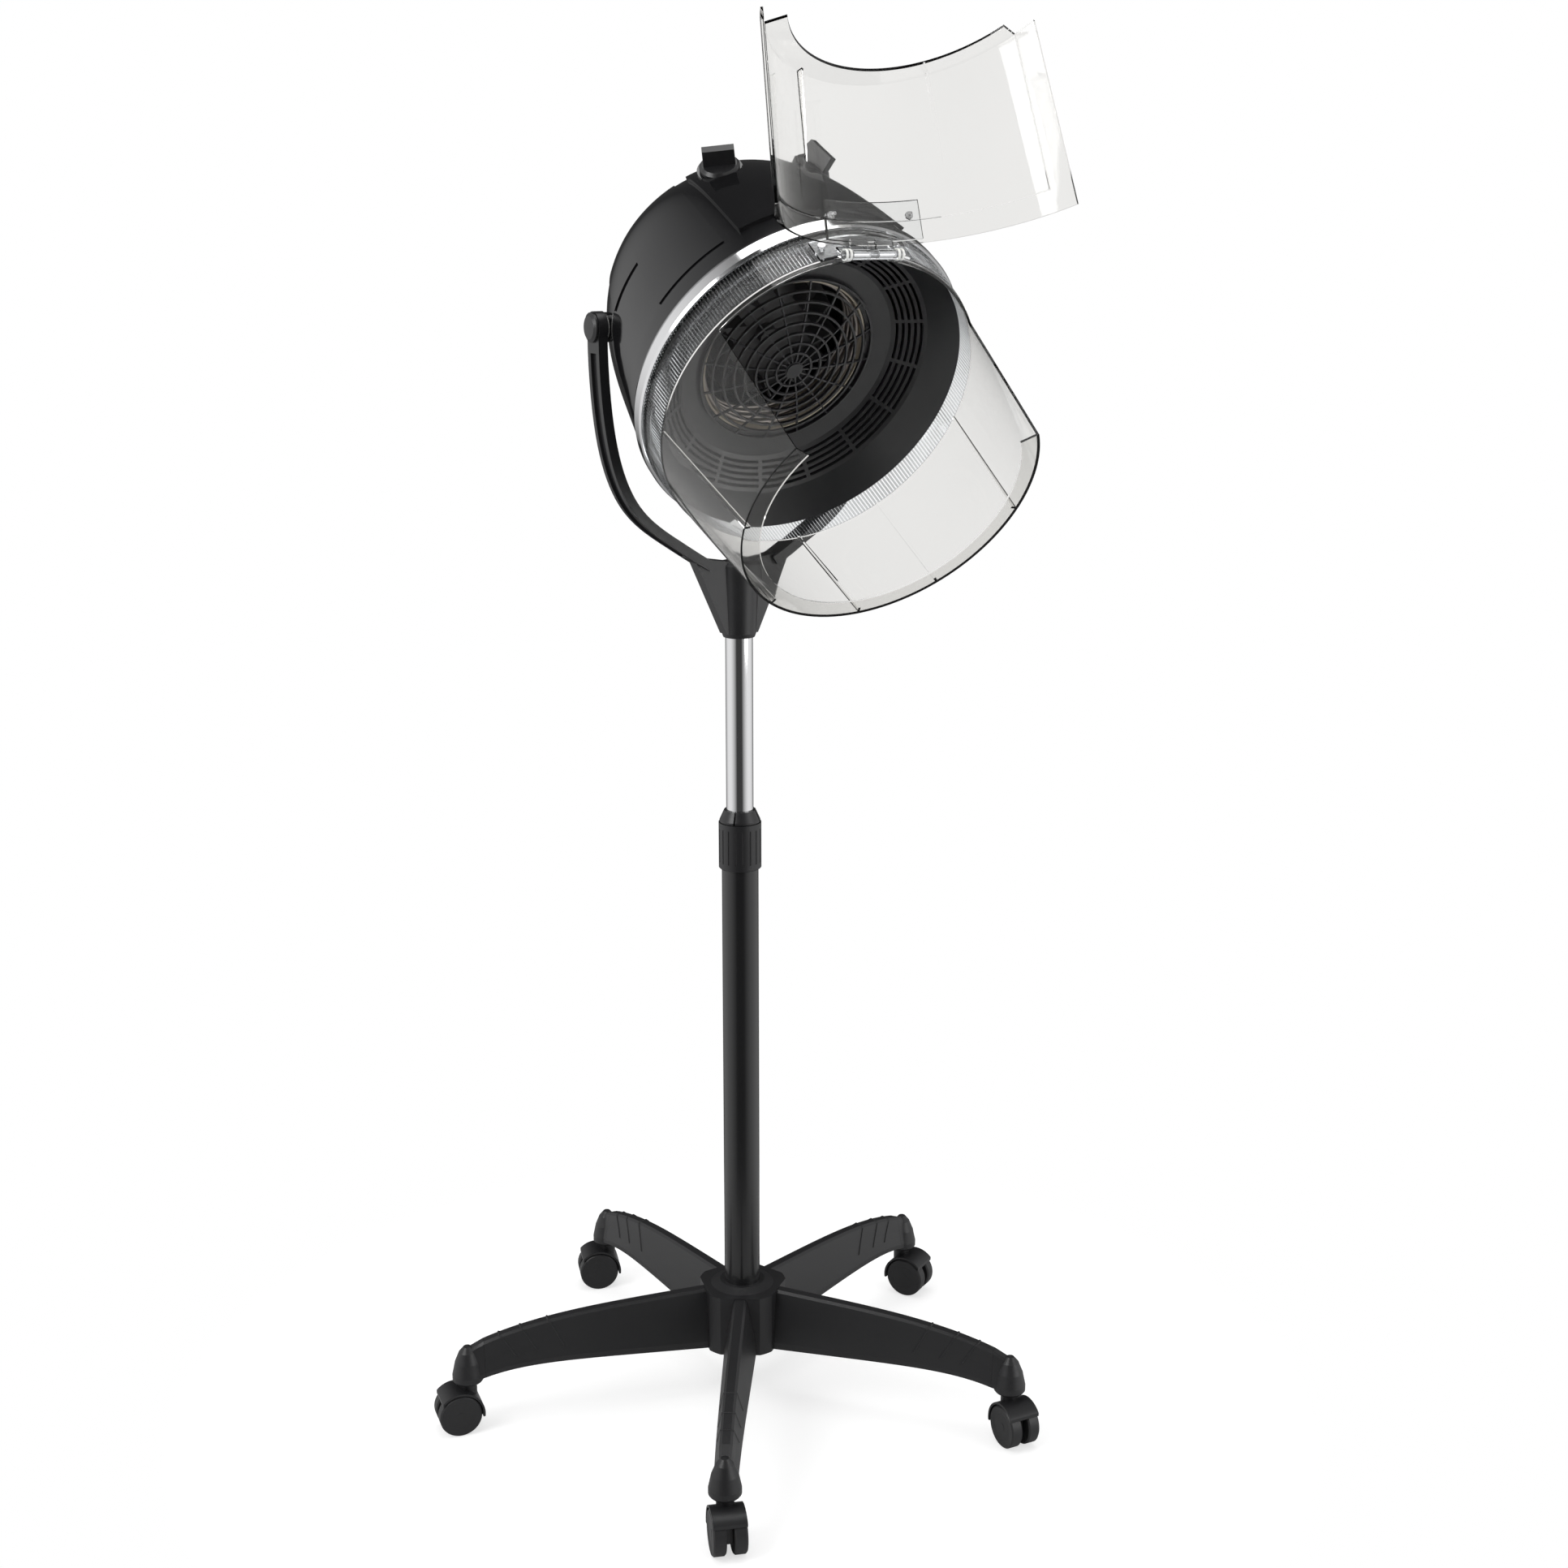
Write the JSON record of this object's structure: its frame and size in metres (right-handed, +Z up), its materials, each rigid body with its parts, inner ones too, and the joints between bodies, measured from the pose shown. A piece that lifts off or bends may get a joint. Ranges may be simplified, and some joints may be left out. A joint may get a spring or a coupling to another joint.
{
  "type": "hood hair dryer",
  "caption": "Salon hood hair dryer: black dome with a clear skirt and a hinged visor, tilting in a yoke on a height-adjustable mast with a five-legged rolling base.",
  "frame": {"origin": "on the floor under the mast's axis", "axes": "+Z up along the mast, -Y towards the side the hood faces, +X along the tilt axis"},
  "size_m": [0.6368, 0.6706, 1.4119],
  "materials": {
    "base_plastic": "fine-textured black moulded plastic",
    "caster_plastic": "satin black moulded plastic",
    "wheel_plastic": "satin black hard plastic",
    "steel": "zinc-plated steel",
    "steel_sheet": "plain sheet steel",
    "painted_tube": "gloss black powder coat",
    "collar_plastic": "satin black moulded plastic",
    "chrome_tube": "bright chrome plate on steel tube",
    "chrome_trim": "bright chrome plate on plastic",
    "yoke_plastic": "satin black moulded plastic",
    "bush_plastic": "white acetal",
    "gloss_black": "polished black plastic",
    "clear_plastic": "clear polycarbonate",
    "smoke_plastic": "smoke-tinted clear polycarbonate",
    "bowl_plastic": "satin black heat-resistant plastic",
    "motor_metal": "motor can",
    "mica": "mica board",
    "heater_wire": "resistance wire",
    "fan_plastic": "black fan plastic",
    "knob_plastic": "satin black moulded plastic"
  },
  "bodies": {
    "base": {"base_hub": "base_plastic", "leg_1": "base_plastic", "leg_2": "base_plastic", "leg_3": "base_plastic", "leg_4": "base_plastic", "leg_5": "base_plastic", "leg_end_caps": "base_plastic", "leg_screws": "steel", "lower_tube": "painted_tube", "collet": "collar_plastic"},
    "lock_collar": {"lock_collar": "collar_plastic"},
    "mast": {"upper_tube": "chrome_tube", "glide_bush": "collar_plastic"},
    "yoke": {"yoke": "yoke_plastic", "pivot_caps": "yoke_plastic"},
    "hood": {"outer_shell": "gloss_black", "control_panel": "gloss_black", "side_covers": "gloss_black", "chrome_ring": "chrome_trim", "collar_ring": "clear_plastic", "skirt": "smoke_plastic", "inner_bowl": "bowl_plastic", "centre_grille": "bowl_plastic", "intake_vent": "yoke_plastic", "vent_screws": "steel", "motor": "motor_metal", "motor_bracket": "steel_sheet", "heater_frame": "mica", "heater_coil": "heater_wire", "thermostat": "yoke_plastic", "timer_unit": "yoke_plastic", "heat_switch": "yoke_plastic", "cord_gland": "yoke_plastic", "hinge_lower_leaf": "clear_plastic", "hinge_pin": "steel", "hinge_lower_screws": "steel", "pivot_bolts": "steel", "friction_washers": "bush_plastic"},
    "fan": {"fan_wheel": "fan_plastic"},
    "visor": {"visor": "smoke_plastic", "hinge_upper_leaf": "clear_plastic", "hinge_upper_screws": "steel"},
    "timer_knob": {"timer_knob": "knob_plastic"},
    "heat_knob": {"heat_knob": "knob_plastic"},
    "caster_1": {"caster_body_1": "caster_plastic", "caster_pins_1": "steel"},
    "wheels_1": {"caster_wheels_1": "wheel_plastic"},
    "caster_2": {"caster_body_2": "caster_plastic", "caster_pins_2": "steel"},
    "wheels_2": {"caster_wheels_2": "wheel_plastic"},
    "caster_3": {"caster_body_3": "caster_plastic", "caster_pins_3": "steel"},
    "wheels_3": {"caster_wheels_3": "wheel_plastic"},
    "caster_4": {"caster_body_4": "caster_plastic", "caster_pins_4": "steel"},
    "wheels_4": {"caster_wheels_4": "wheel_plastic"},
    "caster_5": {"caster_body_5": "caster_plastic", "caster_pins_5": "steel"},
    "wheels_5": {"caster_wheels_5": "wheel_plastic"}
  },
  "joints": [
    {"name": "height_slide", "type": "slide", "parent": "base", "child": "mast", "axis": [0, 0, 1], "range_m": [-0.165, 0.12]},
    {"name": "collar_twist", "type": "hinge", "parent": "base", "child": "lock_collar", "pos_m": [0, 0, 0.62], "axis": [0, 0, 1], "range_deg": [0, 90]},
    {"name": "yoke_swivel", "type": "hinge", "parent": "mast", "child": "yoke", "pos_m": [0, 0, 0.86], "axis": [0, 0, 1], "range_deg": [-170, 170]},
    {"name": "hood_tilt", "type": "hinge", "parent": "yoke", "child": "hood", "pos_m": [0, 0, 1.1465], "axis": [1, 0, 0], "range_deg": [-35, 15]},
    {"name": "visor_hinge", "type": "hinge", "parent": "hood", "child": "visor", "pos_m": [0, -0.25087, 1.21576], "axis": [1, 0, 0], "range_deg": [0, 141]},
    {"name": "timer_dial", "type": "hinge", "parent": "hood", "child": "timer_knob", "pos_m": [0, 0.00936, 1.17987], "axis": [-0.3469, -0.476, 0.8081], "range_deg": [0, 300]},
    {"name": "heat_dial", "type": "hinge", "parent": "hood", "child": "heat_knob", "pos_m": [0, 0.00936, 1.17987], "axis": [0.3469, -0.476, 0.8081], "range_deg": [-45, 90]},
    {"name": "fan_spin", "type": "hinge", "parent": "hood", "child": "fan", "pos_m": [0, -0.06388, 1.13673], "axis": [0, -0.8616, -0.5075], "continuous": true},
    {"name": "caster_swivel_1", "type": "hinge", "parent": "base", "child": "caster_1", "pos_m": [-0.15675, -0.25579, 0.06], "axis": [0, 0, 1], "continuous": true},
    {"name": "wheel_spin_1", "type": "hinge", "parent": "caster_1", "child": "wheels_1", "pos_m": [-0.16046, -0.26721, 0.0225], "axis": [0.9511, -0.309, 0], "continuous": true},
    {"name": "caster_swivel_2", "type": "hinge", "parent": "base", "child": "caster_2", "pos_m": [0.19483, -0.22812, 0.06], "axis": [0, 0, 1], "continuous": true},
    {"name": "wheel_spin_2", "type": "hinge", "parent": "caster_2", "child": "wheels_2", "pos_m": [0.19431, -0.24011, 0.0225], "axis": [0.999, -0.0436, 0], "continuous": true},
    {"name": "caster_swivel_3", "type": "hinge", "parent": "base", "child": "caster_3", "pos_m": [0.27716, 0.11481, 0.06], "axis": [0, 0, 1], "continuous": true},
    {"name": "wheel_spin_3", "type": "hinge", "parent": "caster_3", "child": "wheels_3", "pos_m": [0.28334, 0.10452, 0.0225], "axis": [0.8572, 0.515, 0], "continuous": true},
    {"name": "caster_swivel_4", "type": "hinge", "parent": "base", "child": "caster_4", "pos_m": [-0.02354, 0.29907, 0.06], "axis": [0, 0, 1], "continuous": true},
    {"name": "wheel_spin_4", "type": "hinge", "parent": "caster_4", "child": "wheels_4", "pos_m": [-0.03495, 0.30278, 0.0225], "axis": [-0.309, -0.9511, 0], "continuous": true},
    {"name": "caster_swivel_5", "type": "hinge", "parent": "base", "child": "caster_5", "pos_m": [-0.29171, 0.07003, 0.06], "axis": [0, 0, 1], "continuous": true},
    {"name": "wheel_spin_5", "type": "hinge", "parent": "caster_5", "child": "wheels_5", "pos_m": [-0.30356, 0.07191, 0.0225], "axis": [-0.1564, -0.9877, 0], "continuous": true}
  ]
}
